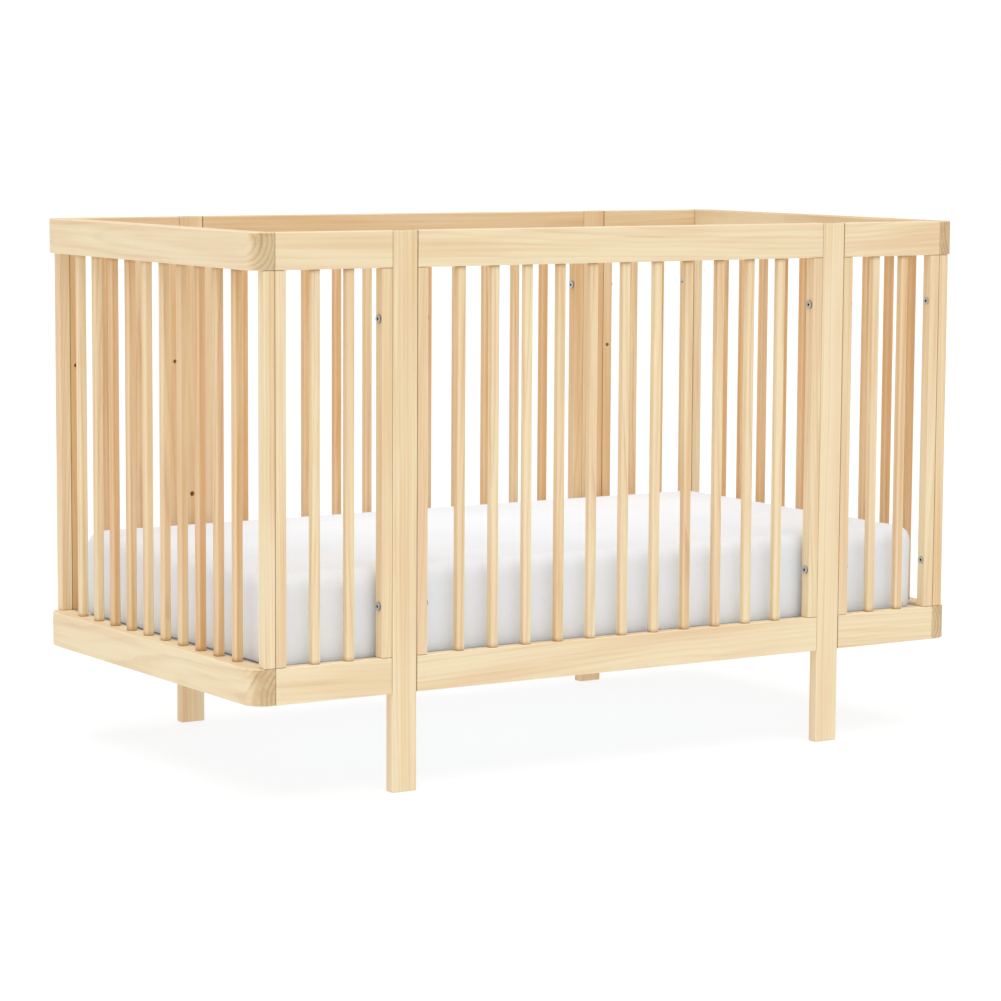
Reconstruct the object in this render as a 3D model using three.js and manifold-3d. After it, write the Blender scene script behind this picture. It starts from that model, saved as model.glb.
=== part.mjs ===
// A fixed-side baby crib in solid pine, with a lift-off mattress support and a mattress.
// Millimetres, +Z up. The origin is on the floor under the middle of the bed,
// +X runs along the bed and -Y is the front side.
import * as THREE from 'three';
import { mergeVertices } from 'three/addons/utils/BufferGeometryUtils.js';
import Module from 'manifold-3d';

const wasm = await Module();
wasm.setup();

// ---- Driving dimensions ----
const LENGTH = 1406;              // over the end rails
const WIDTH = 750;                // over the long sides
const HEIGHT = 900;               // floor to the top of the rails and legs
const GROUND_CLEARANCE = 161;     // floor to the underside of the bottom rails
const RAIL_HEIGHT = 59;           // top and bottom rails
const BOARD = 20;                 // thickness of legs, long rails and stiles
const END_RAIL = 40;              // thickness of the rails across the ends
const END_CORNER_RADIUS = 32;     // rounded outer corners of the end rails
const LEG_WIDTH = 46;
const LEG_CENTRE_X = 428;         // legs stand in from the ends
const LEG_EDGE_RADIUS = 4;
const RAIL_EDGE_RADIUS = 3;
const STILE_EDGE_RADIUS = 2.5;
const SLAT = 15;                  // square slat section
const SLAT_EDGE_RADIUS = 4;
const MIDDLE_SLATS = { count: 11, pitch: 64 };
const SHORT_SLATS = { count: 2, pitch: 62 };
const END_SLATS = { count: 10, pitch: 62 };
const END_SLAT_INSET = 24;        // slat centres in from the end rail's outer face

// Glue joints between slats and rails
const FIT = 0.3;                  // clearance on every glued or bolted fit
const GROOVE_WIDTH = 8;
const GROOVE_DEPTH = 10;

// Fasteners
const BOLT_RADIUS = 4;
const BOLT_HEAD_RADIUS = 7;
const BOLT_HEAD_THICKNESS = 2.5;
const BOLT_HEIGHTS = [303, 761];
const BORE_RADIUS = 4.7;          // clears the bolt on a ten-sided bore
const ROUND_SIDES = 10;
const SUPPORT_SCREW_HEIGHT = 187;
const UPPER_SETTING_HEIGHT = 410;
const SCREW_HEAD_RADIUS = 9;
const SCREW_HEAD_THICKNESS = 3;
const BLIND_HOLE_DEPTH = 14;
const ACCESSORY_HOLE_HEIGHT = 646;
const ACCESSORY_HOLE_RADIUS = 3.5;
const ACCESSORY_HOLE_DEPTH = 10;

// Mattress and its support
const MATTRESS = { length: 1311, width: 692, thickness: 139.7, cornerRadius: 28, edgeRadius: 25 };
const SUPPORT_TOP = 215;          // lowest of the two settings
const ANGLE_LEAF = 25;            // angle-iron leaf
const ANGLE_THICKNESS = 2.5;
const SUPPORT_END_GAP = 2;
const SUPPORT_SIDE_GAP = 1.5;
const HANGER = { width: 60, bottom: 170, notchWidth: 9.2 };
const DECK = { thickness: 3, drop: 2 };

// ---- Sizes that follow from them ----
const SIDE_Y = WIDTH / 2 - BOARD / 2;             // centre plane of the long sides
const INNER_Y = WIDTH / 2 - BOARD;
const INNER_X = LENGTH / 2 - END_RAIL;
const LEG_INNER_X = LEG_CENTRE_X - LEG_WIDTH / 2;
const LEG_OUTER_X = LEG_CENTRE_X + LEG_WIDTH / 2;
const LOWER_RAIL_TOP = GROUND_CLEARANCE + RAIL_HEIGHT;
const TOP_RAIL_BOTTOM = HEIGHT - RAIL_HEIGHT;
const STILE_LENGTH = TOP_RAIL_BOTTOM - LOWER_RAIL_TOP;
const END_STILE_X = INNER_X + BOARD / 2;
const END_SLAT_X = LENGTH / 2 - END_SLAT_INSET;

// ---- Finishes ----
const pine = new THREE.MeshStandardMaterial({ color: 0xe9cfa0, roughness: 0.55, metalness: 0 });
const pineSlat = new THREE.MeshStandardMaterial({ color: 0xe6c48f, roughness: 0.55, metalness: 0 });
const cotton = new THREE.MeshStandardMaterial({ color: 0xf4f4f2, roughness: 0.9, metalness: 0 });
const zincSteel = new THREE.MeshStandardMaterial({ color: 0x8f9195, roughness: 0.35, metalness: 1 });
const whiteSteel = new THREE.MeshStandardMaterial({ color: 0xd9dadb, roughness: 0.45, metalness: 0.2 });

// ---- Geometry helpers ----

// Upright rectangle with rounded corners, centred on the origin.
function roundedRectangle(width, depth, radius) {
  const [x, y] = [width / 2, depth / 2];
  const shape = new THREE.Shape();
  shape.moveTo(-x + radius, -y);
  shape.lineTo(x - radius, -y);
  shape.absarc(x - radius, -y + radius, radius, -Math.PI / 2, 0);
  shape.lineTo(x, y - radius);
  shape.absarc(x - radius, y - radius, radius, 0, Math.PI / 2);
  shape.lineTo(-x + radius, y);
  shape.absarc(-x + radius, y - radius, radius, Math.PI / 2, Math.PI);
  shape.lineTo(-x, -y + radius);
  shape.absarc(-x + radius, -y + radius, radius, Math.PI, 1.5 * Math.PI);
  return shape;
}

// A shape drawn in plan, raised from z = bottom to z = top.
function upright(shape, bottom, top, curveSegments = 2) {
  const settings = { depth: top - bottom, bevelEnabled: false, curveSegments };
  return new THREE.ExtrudeGeometry(shape, settings).translate(0, 0, bottom);
}

// A box given by its lowest and highest corners.
function block([x0, y0, z0], [x1, y1, z1]) {
  const geometry = new THREE.BoxGeometry(x1 - x0, y1 - y0, z1 - z0);
  return geometry.translate((x0 + x1) / 2, (y0 + y1) / 2, (z0 + z1) / 2);
}

// A closed turned shape on an axis: profile points are [radius, distance along the axis].
// The lathe's Y axis is carried onto the given axis by swapping coordinates, so sizes stay exact.
function turned(profile, axis) {
  const geometry = new THREE.LatheGeometry(profile.map(([r, h]) => new THREE.Vector2(r, h)), ROUND_SIDES);
  const [X, Y, Z] = [new THREE.Vector3(1, 0, 0), new THREE.Vector3(0, 1, 0), new THREE.Vector3(0, 0, 1)];
  const basis = { x: [Y, X, Z.clone().negate()], y: [X, Y, Z] }[axis];
  return geometry.applyMatrix4(new THREE.Matrix4().makeBasis(...basis));
}

function cylinder(radius, from, to, axis) {
  return turned([[0, from], [radius, from], [radius, to], [0, to]], axis);
}

function toSolid(geometry) {
  const bare = geometry.clone();
  bare.deleteAttribute('normal');
  bare.deleteAttribute('uv');
  const merged = mergeVertices(bare, 1e-4);
  const mesh = new wasm.Mesh({
    numProp: 3,
    vertProperties: new Float32Array(merged.attributes.position.array),
    triVerts: new Uint32Array(merged.index.array),
  });
  return new wasm.Manifold(mesh);
}

function toGeometry(solid) {
  const mesh = solid.getMesh();
  const geometry = new THREE.BufferGeometry();
  geometry.setAttribute('position', new THREE.BufferAttribute(new Float32Array(mesh.vertProperties), 3));
  geometry.setIndex(new THREE.BufferAttribute(new Uint32Array(mesh.triVerts), 1));
  geometry.computeVertexNormals();
  return geometry;
}

const cut = (geometry, tools) =>
  toGeometry(tools.reduce((solid, tool) => solid.subtract(toSolid(tool)), toSolid(geometry)));
const join = (geometries) =>
  toGeometry(geometries.slice(1).reduce((solid, more) => solid.add(toSolid(more)), toSolid(geometries[0])));

function addPart(group, name, geometry, material, position = [0, 0, 0]) {
  const mesh = new THREE.Mesh(geometry, material);
  mesh.name = name;
  mesh.position.set(...position);
  group.add(mesh);
  return mesh;
}

// Centres of `count` slats spread evenly about zero.
const spread = ({ count, pitch }) => Array.from({ length: count }, (_, i) => (i - (count - 1) / 2) * pitch);

// ---- Timber pieces ----

// A leg: an eased board on end, bored for two connector bolts and for the support's two heights.
// side is -1 on the front of the bed and 1 on the back; the inner face is towards the middle.
function leg(side) {
  const blank = upright(roundedRectangle(LEG_WIDTH, BOARD, LEG_EDGE_RADIUS), 0, HEIGHT, 3);
  const through = BOLT_HEIGHTS.map((z) =>
    cylinder(BORE_RADIUS, -LEG_WIDTH, LEG_WIDTH, 'x').translate(0, 0, z));
  const innerFace = -side * BOARD / 2;
  const [from, to] = [innerFace + side * BLIND_HOLE_DEPTH, innerFace - side].sort((a, b) => a - b);
  const blind = [SUPPORT_SCREW_HEIGHT, UPPER_SETTING_HEIGHT].map((z) =>
    cylinder(BORE_RADIUS, from, to, 'y').translate(0, 0, z));
  return cut(blank, [...through, ...blind]);
}

// A rail of the long sides: eased edges, and a groove for the slats in the edge that faces them.
function longRail(length, grooveAtTop) {
  const blank = roundedRectangle(BOARD, RAIL_HEIGHT, RAIL_EDGE_RADIUS);
  const geometry = new THREE.ExtrudeGeometry(blank, { depth: length, bevelEnabled: false, curveSegments: 2 });
  const [X, Y, Z] = [new THREE.Vector3(1, 0, 0), new THREE.Vector3(0, 1, 0), new THREE.Vector3(0, 0, 1)];
  geometry.translate(0, 0, -length / 2).applyMatrix4(new THREE.Matrix4().makeBasis(Y, Z, X));
  const edge = RAIL_HEIGHT / 2;
  const [low, high] = grooveAtTop ? [edge - GROOVE_DEPTH, edge + 1] : [-edge - 1, -edge + GROOVE_DEPTH];
  const groove = block([-length, -GROOVE_WIDTH / 2, low], [length, GROOVE_WIDTH / 2, high]);
  return cut(geometry, [groove]);
}

// A rail across an end: full width of the bed, outer corners rounded, grooved at the slats' line.
// end is -1 at the left and 1 at the right.
function endRail(end, bottom, grooveAtTop) {
  const [inner, outer] = [INNER_X, LENGTH / 2];
  const radius = END_CORNER_RADIUS;
  const half = WIDTH / 2;
  const shape = new THREE.Shape();
  shape.moveTo(inner, -half);
  shape.lineTo(outer - radius, -half);
  shape.absarc(outer - radius, -half + radius, radius, -Math.PI / 2, 0);
  shape.lineTo(outer, half - radius);
  shape.absarc(outer - radius, half - radius, radius, 0, Math.PI / 2);
  shape.lineTo(inner, half);
  const points = shape.getPoints(8).map((p) => new THREE.Vector2(end * p.x, p.y));
  const top = bottom + RAIL_HEIGHT;
  const blank = upright(new THREE.Shape(points), bottom, top);
  const [low, high] = grooveAtTop ? [top - GROOVE_DEPTH, top + 1] : [bottom - 1, bottom + GROOVE_DEPTH];
  const x = end * END_SLAT_X;
  const reach = INNER_Y - BOARD / 2;
  const groove = block([x - GROOVE_WIDTH / 2, -reach, low], [x + GROOVE_WIDTH / 2, reach, high]);
  return cut(blank, [groove]);
}

// A stile, bored along X at the bolt heights where a connector passes through it.
// holeSide is the side of a blind accessory hole in the inner face, or 0 for none.
function stile({ bored = false, holeSide = 0 }) {
  const blank = upright(roundedRectangle(BOARD, BOARD, STILE_EDGE_RADIUS), LOWER_RAIL_TOP, TOP_RAIL_BOTTOM);
  const tools = [];
  if (bored) {
    for (const z of BOLT_HEIGHTS) tools.push(cylinder(BORE_RADIUS, -BOARD, BOARD, 'x').translate(0, 0, z));
  }
  if (holeSide !== 0) {
    const innerFace = -holeSide * BOARD / 2;
    const ends = [innerFace + holeSide * ACCESSORY_HOLE_DEPTH, innerFace - holeSide].sort((a, b) => a - b);
    tools.push(cylinder(ACCESSORY_HOLE_RADIUS, ...ends, 'y').translate(0, 0, ACCESSORY_HOLE_HEIGHT));
  }
  return tools.length ? cut(blank, tools) : blank;
}

// The slats of one panel, tenoned into both rails and tied at the foot by the fillet strip
// that fills the bottom rail's groove. centres are along the panel; axis is 'x' or 'y'.
function slatSet(centres, stripHalfLength, axis) {
  const core = GROOVE_WIDTH / 2 - FIT;
  const along = (a, b) => (axis === 'x' ? [a, b] : [b, a]);
  const stripTop = LOWER_RAIL_TOP - FIT;
  const stripBottom = LOWER_RAIL_TOP - GROOVE_DEPTH + FIT;
  const tenonTop = TOP_RAIL_BOTTOM + GROOVE_DEPTH - FIT;
  const corner = along(stripHalfLength, core);
  const pieces = [block([-corner[0], -corner[1], stripBottom], [corner[0], corner[1], stripTop])];
  for (const centre of centres) {
    const [x, y] = along(centre, 0);
    const body = upright(roundedRectangle(SLAT, SLAT, SLAT_EDGE_RADIUS), LOWER_RAIL_TOP, TOP_RAIL_BOTTOM, 1);
    const tenons = block([-core, -core, stripBottom + 1], [core, core, tenonTop]);
    pieces.push(body.translate(x, y, 0), tenons.translate(x, y, 0));
  }
  return join(pieces);
}

// ---- Fasteners ----

// A connector bolt and its cap nut, screwed up through stile, leg and stile along X.
function connectorBolt() {
  const grip = LEG_WIDTH / 2 + BOARD;
  const head = grip + BOLT_HEAD_THICKNESS;
  return turned([
    [0, -head], [BOLT_HEAD_RADIUS, -head], [BOLT_HEAD_RADIUS, -grip], [BOLT_RADIUS, -grip],
    [BOLT_RADIUS, grip], [BOLT_HEAD_RADIUS, grip], [BOLT_HEAD_RADIUS, head], [0, head],
  ], 'x');
}

// A shouldered screw along Y: shank in the leg, and a head that keeps the hanger on.
// side is -1 for the front legs and 1 for the back legs.
function supportScrew(side) {
  const headOuter = INNER_Y - SUPPORT_SIDE_GAP - ANGLE_THICKNESS - FIT;
  const headInner = headOuter - SCREW_HEAD_THICKNESS;
  const tip = INNER_Y + BLIND_HOLE_DEPTH - FIT;
  const profile = [
    [0, headInner], [SCREW_HEAD_RADIUS, headInner], [SCREW_HEAD_RADIUS, headOuter],
    [BOLT_RADIUS, headOuter], [BOLT_RADIUS, tip], [0, tip],
  ];
  return turned(side > 0 ? profile : profile.map(([r, h]) => [r, -h]).reverse(), 'y');
}

// ---- Mattress support and mattress ----

// A rectangular ring in plan.
function ring(outerX, outerY, innerX, innerY, bottom, top) {
  const corners = (x, y) => [[-x, -y], [x, -y], [x, y], [-x, y]].map((p) => new THREE.Vector2(...p));
  const shape = new THREE.Shape(corners(outerX, outerY));
  shape.holes.push(new THREE.Path(corners(innerX, innerY)));
  return upright(shape, bottom, top);
}

// The angle-iron frame: one leaf flat under the mattress, one leaf turned down, and four hanger
// plates whose open notches sit over the screws in the legs, so that the frame lifts straight off.
function supportFrame() {
  const [x, y] = [INNER_X - SUPPORT_END_GAP, INNER_Y - SUPPORT_SIDE_GAP];
  const flat = ring(x, y, x - ANGLE_LEAF, y - ANGLE_LEAF, SUPPORT_TOP - ANGLE_THICKNESS, SUPPORT_TOP);
  const bottom = SUPPORT_TOP - ANGLE_LEAF;
  const turnedDown = ring(x, y, x - ANGLE_THICKNESS, y - ANGLE_THICKNESS, bottom, SUPPORT_TOP);
  const pieces = [flat, turnedDown];
  const notches = [];
  const notchTop = SUPPORT_SCREW_HEIGHT + BOLT_RADIUS + FIT;
  for (const side of [-1, 1]) {
    const [near, far] = [side * (y - ANGLE_THICKNESS), side * y].sort((a, b) => a - b);
    for (const centre of [-LEG_CENTRE_X, LEG_CENTRE_X]) {
      const [left, right] = [centre - HANGER.width / 2, centre + HANGER.width / 2];
      pieces.push(block([left, near, HANGER.bottom], [right, far, SUPPORT_TOP]));
      const half = HANGER.notchWidth / 2;
      notches.push(block([centre - half, near - 1, HANGER.bottom - 1], [centre + half, far + 1, notchTop]));
    }
  }
  return cut(join(pieces), notches);
}

// The sprung deck inside the frame, as one thin sheet the size of its wire mesh.
function springDeck() {
  const x = INNER_X - SUPPORT_END_GAP - ANGLE_LEAF - FIT;
  const y = INNER_Y - SUPPORT_SIDE_GAP - ANGLE_LEAF - FIT;
  const top = SUPPORT_TOP - DECK.drop;
  return block([-x, -y, top - DECK.thickness], [x, y, top]);
}

// A foam mattress in its sheet: a block with every edge rounded.
function mattress() {
  const { length, width, thickness, cornerRadius, edgeRadius } = MATTRESS;
  const inset = 2 * edgeRadius;
  const shape = roundedRectangle(length - inset, width - inset, cornerRadius - edgeRadius + 1);
  const geometry = new THREE.ExtrudeGeometry(shape, {
    depth: thickness - inset,
    bevelThickness: edgeRadius,
    bevelSize: edgeRadius,
    bevelSegments: 3,
    curveSegments: 3,
  });
  return geometry.translate(0, 0, SUPPORT_TOP + FIT + edgeRadius);
}

// ---- Assembly ----
const crib = new THREE.Group();

// Each long side: three panels between and outside two legs.
const longPanels = [
  { name: 'left', from: -INNER_X, to: -LEG_OUTER_X, slats: SHORT_SLATS, boredAt: ['right'] },
  { name: 'middle', from: -LEG_INNER_X, to: LEG_INNER_X, slats: MIDDLE_SLATS, boredAt: ['left', 'right'] },
  { name: 'right', from: LEG_OUTER_X, to: INNER_X, slats: SHORT_SLATS, boredAt: ['left'] },
];

for (const [sideName, side] of [['front', -1], ['back', 1]]) {
  const sideGroup = new THREE.Group();
  sideGroup.position.y = side * SIDE_Y;
  crib.add(sideGroup);
  for (const panel of longPanels) {
    const name = `${sideName}_${panel.name}`;
    const [centre, length] = [(panel.from + panel.to) / 2, panel.to - panel.from];
    const topAt = [centre, 0, HEIGHT - RAIL_HEIGHT / 2];
    const bottomAt = [centre, 0, GROUND_CLEARANCE + RAIL_HEIGHT / 2];
    addPart(sideGroup, `${name}_top_rail`, longRail(length, false), pine, topAt);
    addPart(sideGroup, `${name}_bottom_rail`, longRail(length, true), pine, bottomAt);
    const holeSide = panel.name === 'middle' ? 0 : side;
    for (const [edge, x] of [['left', panel.from + BOARD / 2], ['right', panel.to - BOARD / 2]]) {
      const geometry = stile({ bored: panel.boredAt.includes(edge), holeSide });
      addPart(sideGroup, `${name}_${edge}_stile`, geometry, pine, [x, 0, 0]);
    }
    const slats = slatSet(spread(panel.slats), length / 2 - BOARD - FIT, 'x');
    addPart(sideGroup, `${name}_slats`, slats, pineSlat, [centre, 0, 0]);
  }
  for (const [legName, x] of [['left', -LEG_CENTRE_X], ['right', LEG_CENTRE_X]]) {
    addPart(sideGroup, `${sideName}_${legName}_leg`, leg(side), pine, [x, 0, 0]);
    for (const [level, z] of [['lower', BOLT_HEIGHTS[0]], ['upper', BOLT_HEIGHTS[1]]]) {
      addPart(sideGroup, `${sideName}_${legName}_${level}_bolt`, connectorBolt(), zincSteel, [x, 0, z]);
    }
    const screwAt = [x, 0, SUPPORT_SCREW_HEIGHT];
    addPart(crib, `${sideName}_${legName}_support_screw`, supportScrew(side), zincSteel, screwAt);
  }
}

// Each end: two rails the full width of the bed, a stile at each corner, and the slats.
for (const [endName, end] of [['left_end', -1], ['right_end', 1]]) {
  addPart(crib, `${endName}_top_rail`, endRail(end, TOP_RAIL_BOTTOM, false), pine);
  addPart(crib, `${endName}_bottom_rail`, endRail(end, GROUND_CLEARANCE, true), pine);
  addPart(crib, `${endName}_front_stile`, stile({}), pine, [end * END_STILE_X, -SIDE_Y, 0]);
  addPart(crib, `${endName}_back_stile`, stile({}), pine, [end * END_STILE_X, SIDE_Y, 0]);
  const slats = slatSet(spread(END_SLATS), INNER_Y - BOARD / 2 - FIT, 'y');
  addPart(crib, `${endName}_slats`, slats, pineSlat, [end * END_SLAT_X, 0, 0]);
}

addPart(crib, 'support_frame', supportFrame(), whiteSteel);
addPart(crib, 'spring_deck', springDeck(), whiteSteel);
addPart(crib, 'mattress', mattress(), cotton);

export default crib;
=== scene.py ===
"""Baby crib in solid pine: the visual model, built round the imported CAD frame.

Metres, +Z up, the crib's length along X and its front towards -Y, as in the frame.
"""

import math

import bpy
import numpy as np
from mathutils import Matrix, Vector


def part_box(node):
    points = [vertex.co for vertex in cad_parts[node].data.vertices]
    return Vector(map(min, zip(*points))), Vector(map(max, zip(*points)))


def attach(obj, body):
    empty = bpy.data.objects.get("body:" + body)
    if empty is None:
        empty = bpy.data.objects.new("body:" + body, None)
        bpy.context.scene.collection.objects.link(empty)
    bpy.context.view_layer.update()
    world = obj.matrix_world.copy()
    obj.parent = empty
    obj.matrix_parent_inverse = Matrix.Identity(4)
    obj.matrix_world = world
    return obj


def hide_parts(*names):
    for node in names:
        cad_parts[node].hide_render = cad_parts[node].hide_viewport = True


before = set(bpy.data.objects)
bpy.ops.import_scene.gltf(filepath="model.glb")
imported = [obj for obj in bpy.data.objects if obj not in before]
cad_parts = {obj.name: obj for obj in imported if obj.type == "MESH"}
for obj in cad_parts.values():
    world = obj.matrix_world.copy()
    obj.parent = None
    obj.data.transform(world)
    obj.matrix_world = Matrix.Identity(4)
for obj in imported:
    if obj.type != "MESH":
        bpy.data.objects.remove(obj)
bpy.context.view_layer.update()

MM = 0.001
RANDOM = np.random.default_rng(2718)
AXES = {"x": 0, "y": 1, "z": 2}

# Bodies and material slots of the record
CRIB, SUPPORT, MATTRESS = "crib_frame", "mattress_support", "mattress"

# Eased edges of the timber
LEG_EDGE = 2.0 * MM
RAIL_EDGE = 2.0 * MM
STILE_EDGE = 1.3 * MM
SLAT_EDGE = 3.8 * MM
SLAT_WIDTH = 15 * MM
END_CORNER = 32 * MM
JOINT_GAP = 0.3 * MM              # each board stops this short of a glued or bolted face
JOINT_SHADE = 1.0 * MM            # painted shade, brown, runs this far out of a joint
SLAT_SHADE = 8.0 * MM             # painted shade runs this far along a slat from the rails
SLAT_SHADE_DEPTH = 1.7            # how dark the painted shade on a slat is where it meets a rail
SLAT_PLAY = 0.05 * MM             # a slat stops this short of a rail

# Blind holes in the inner faces
ACCESSORY_HOLE = {"height": 0.646, "radius": 3.5 * MM, "depth": 10 * MM}
SETTING_HOLE = {"height": 0.410, "radius": 4.5 * MM, "depth": 14 * MM}

# Fasteners: heads of the connector bolts, the corner bolts and the support screws
CORNER_BOLT_HEIGHTS = (0.303, 0.761)
CONNECTOR_HEAD = 2.5 * MM
CORNER_HEAD = {"radius": 6.4 * MM, "thickness": 1.2 * MM}
SCREW_HEAD = {"radius": 9 * MM, "thickness": 3 * MM, "socket": 3 * MM}

# Sprung deck: a net of wires, held to the frame by coil springs
NET_REACH = 30 * MM               # from the deck's edge to the outermost wires
NET_LINES = (19, 9)               # wires across and along
NET_WIRE = 1.1 * MM
NET_SWING = 1.0 * MM              # how far wires pass over and under each other
SPRING_TURNS = 7
SPRING_RADIUS = 4.2 * MM
SPRING_WIRE = 0.55 * MM
SPRING_HOOK = 4 * MM              # how far a spring reaches into the frame
SPRING_DROP = 1.5 * MM

# Mattress in its fitted sheet
COVER_INSET = (1.0 * MM, 1.0 * MM, 0.2 * MM)
COVER_ROUNDING = {"plan": 30 * MM, "top": 22 * MM, "bottom": 4 * MM}
COVER_CELL = 11 * MM
COVER_MOVEMENT = (3.0 * MM, 3.0 * MM, 6.0 * MM)
PLEAT_DEPTH = 0.9 * MM
PLEATS = 26                       # waves in a full turn round the plan
COVER_FRAMES = 20

# Camera: place in metres, (yaw, pitch, roll) in degrees, lens in millimetres
CAMERA_PLACE = (-3.18831, -4.95448, 1.08987)
CAMERA_TURN = (32.7053, 6.59435, 0.33229)
SENSOR_WIDTH = 36
FOCAL_LENGTH = 121.683165


# ---------------------------------------------------------------- materials


def colour(code):
    """Linear colour of a six-digit sRGB code: c/12.92 below 0.04045, else ((c + 0.055)/1.055)^2.4."""
    shares = np.array([int(code[i:i + 2], 16) for i in (0, 2, 4)]) / 255
    linear = np.where(shares <= 0.04045, shares / 12.92, ((shares + 0.055) / 1.055) ** 2.4)
    return (*map(float, linear), 1.0)


class Recipe:
    """One procedural finish, written as a list of steps. Each step returns the socket that it makes."""

    def __init__(self, name, **shader):
        self.material = bpy.data.materials.new(name)
        self.material.use_nodes = True
        self.tree = self.material.node_tree
        self.tree.nodes.clear()
        output = self.tree.nodes.new("ShaderNodeOutputMaterial")
        self.shader = self.tree.nodes.new("ShaderNodeBsdfPrincipled")
        self.tree.links.new(self.shader.outputs["BSDF"], output.inputs["Surface"])
        for key, value in shader.items():
            self.shader.inputs[key.replace("_", " ")].default_value = value

    def node(self, kind, inputs=(), **settings):
        made = self.tree.nodes.new("ShaderNode" + kind)
        for key, value in settings.items():
            setattr(made, key, value)
        for key, value in dict(inputs).items():
            self.feed(made.inputs[key], value)
        return made

    def feed(self, socket, value):
        if isinstance(value, bpy.types.NodeSocket):
            self.tree.links.new(value, socket)
        else:
            socket.default_value = value

    def maths(self, operation, *values, clamp=False):
        inputs = dict(enumerate(values))
        return self.node("Math", inputs, operation=operation, use_clamp=clamp).outputs[0]

    def vector(self, operation, *values):
        made = self.node("VectorMath", dict(enumerate(values)), operation=operation)
        return made.outputs["Value" if operation in ("LENGTH", "DOT_PRODUCT") else "Vector"]

    def noise(self, place, scale=1.0, detail=2.0, roughness=0.5):
        inputs = {"Vector": place, "Scale": scale, "Detail": detail, "Roughness": roughness}
        return self.node("TexNoise", inputs).outputs[0]

    def between(self, value, low, high, to_low=0.0, to_high=1.0):
        """The value carried from low..high to to_low..to_high with a smooth step."""
        inputs = {0: value, 1: low, 2: high, 3: to_low, 4: to_high}
        return self.node("MapRange", inputs, interpolation_type="SMOOTHSTEP").outputs[0]

    def mix(self, share, first, second, blend="MIX"):
        made = self.node("Mix", data_type="RGBA", blend_type=blend)
        for key, value in ((0, share), (6, first), (7, second)):
            self.feed(made.inputs[key], value)
        return made.outputs[2]

    def ramp(self, value, stops):
        made = self.node("ValToRGB", {0: value})
        points = made.color_ramp.elements
        while len(points) < len(stops):
            points.new(0.5)
        for point, (place, level) in zip(points, stops):
            point.position = place
            point.color = (level, level, level, 1)
        return made.outputs[0]

    def attribute(self, name):
        return self.node("Attribute", attribute_name=name).outputs["Vector"]

    def parts(self, vector):
        return self.node("SeparateXYZ", {0: vector}).outputs

    def finish(self, base, roughness, height=None, strength=0.3, distance=0.3 * MM):
        self.feed(self.shader.inputs["Base Color"], base)
        self.feed(self.shader.inputs["Roughness"], roughness)
        if height is not None:
            inputs = {"Height": height, "Strength": strength, "Distance": distance}
            bump = self.node("Bump", inputs)
            self.feed(self.shader.inputs["Normal"], bump.outputs[0])
        return self.material


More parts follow.
